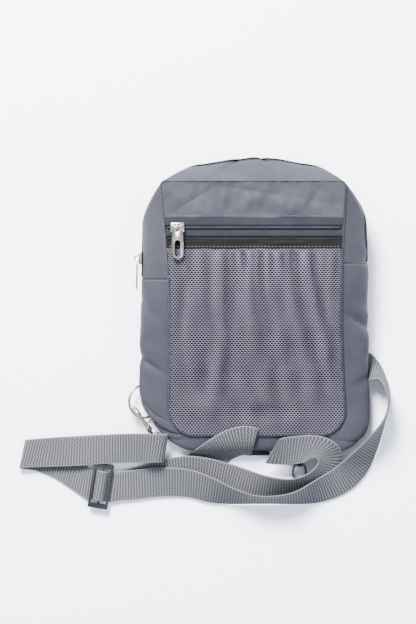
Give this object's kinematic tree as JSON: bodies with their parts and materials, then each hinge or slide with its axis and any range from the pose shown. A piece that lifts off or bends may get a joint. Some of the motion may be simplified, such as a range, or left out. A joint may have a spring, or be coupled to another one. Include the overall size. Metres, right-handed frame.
{
  "type": "crossbody pouch",
  "caption": "Small zipped fabric crossbody pouch with a mesh front pocket, lying on its back with its webbing shoulder strap, slide adjuster, snap hook and carry ring laid in front",
  "frame": {"origin": "on the surface the pouch lies on, under the middle of its flat back panel", "axes": "X across the pouch to the right, Y towards the end with the main zip, Z out of the front; the pouch lies on its back"},
  "size_m": [0.3109, 0.2928, 0.0532],
  "materials": {
    "nylon": "woven grey nylon, slight sheen",
    "back_pad": "padded grey nylon",
    "zip_tape": "navy-grey woven zip tape",
    "zip_coil": "nylon coil",
    "band": "black woven binding",
    "mesh": "purple-grey open mesh",
    "lining": "dark woven lining",
    "webbing": "ribbed grey webbing",
    "nickel": "nickel plated",
    "gunmetal": "dark gunmetal plating",
    "plastic": "moulded dark grey plastic"
  },
  "bodies": {
    "bag": {"back_panel": "back_pad", "lower_gusset": "nylon", "zip_gusset_front": "nylon", "zip_gusset_back": "nylon", "main_zip_tape_front": "zip_tape", "main_zip_tape_back": "zip_tape", "main_zip_coil": "zip_coil", "front_lining": "lining", "front_yoke": "nylon", "pocket_zip_tape_upper": "zip_tape", "pocket_zip_tape_lower": "zip_tape", "pocket_band": "band", "mesh_pocket": "mesh", "pocket_zip_coil": "zip_coil", "d_ring_tab": "webbing", "hook_swivel_eye": "nickel", "strap_slider": "plastic", "strap_long": "webbing", "strap_anchor": "webbing", "strap_short": "webbing", "bottom_tab": "webbing", "end_ring_tab": "webbing"},
    "pocket_slider": {"pocket_zip_slider": "nickel"},
    "pocket_puller": {"pocket_zip_puller": "nickel"},
    "main_slider": {"main_zip_slider": "nickel"},
    "main_puller": {"main_zip_puller": "nickel"},
    "carry_ring": {"d_ring": "nickel"},
    "hook": {"hook_body": "nickel"},
    "gate": {"hook_gate": "nickel"},
    "end_ring_body": {"end_ring": "gunmetal"}
  },
  "joints": [
    {"name": "pocket_zip", "type": "slide", "parent": "bag", "child": "pocket_slider", "axis": [1, 0, 0], "range_m": [0, 0.128]},
    {"name": "pocket_puller_hinge", "type": "hinge", "parent": "pocket_slider", "child": "pocket_puller", "pos_m": [-0.0636, 0.0642, 0.05045], "axis": [-1, 0, 0], "range_deg": [0, 170]},
    {"name": "main_zip", "type": "slide", "parent": "bag", "child": "main_slider", "axis": [0.021, 0.9998, 0], "range_m": [0, 0.02]},
    {"name": "main_puller_hinge", "type": "hinge", "parent": "main_slider", "child": "main_puller", "pos_m": [-0.09725, 0.03959, 0.02321], "axis": [0, 0, -1], "range_deg": [0, 165]},
    {"name": "carry_ring_hinge", "type": "hinge", "parent": "bag", "child": "carry_ring", "pos_m": [-0.0865, -0.0798, 0.0026], "axis": [0, 1, 0], "range_deg": [-3, 1]},
    {"name": "hook_swivel", "type": "hinge", "parent": "bag", "child": "hook", "pos_m": [-0.0876, -0.1026, 0.0126], "axis": [-0.5832, 0.8123, 0], "range_deg": [-4, 2.5]},
    {"name": "hook_gate_hinge", "type": "hinge", "parent": "hook", "child": "gate", "pos_m": [-0.08987, -0.09943, 0.0024], "axis": [-0.8123, -0.5832, 0], "range_deg": [0, 8], "stiffness_Nm_per_rad": 0.02, "springref_deg": -2.86},
    {"name": "end_ring_hinge", "type": "hinge", "parent": "bag", "child": "end_ring_body", "pos_m": [0.0378, -0.1317, 0.0036], "axis": [-1, 0, 0], "range_deg": [-4, 5]}
  ]
}
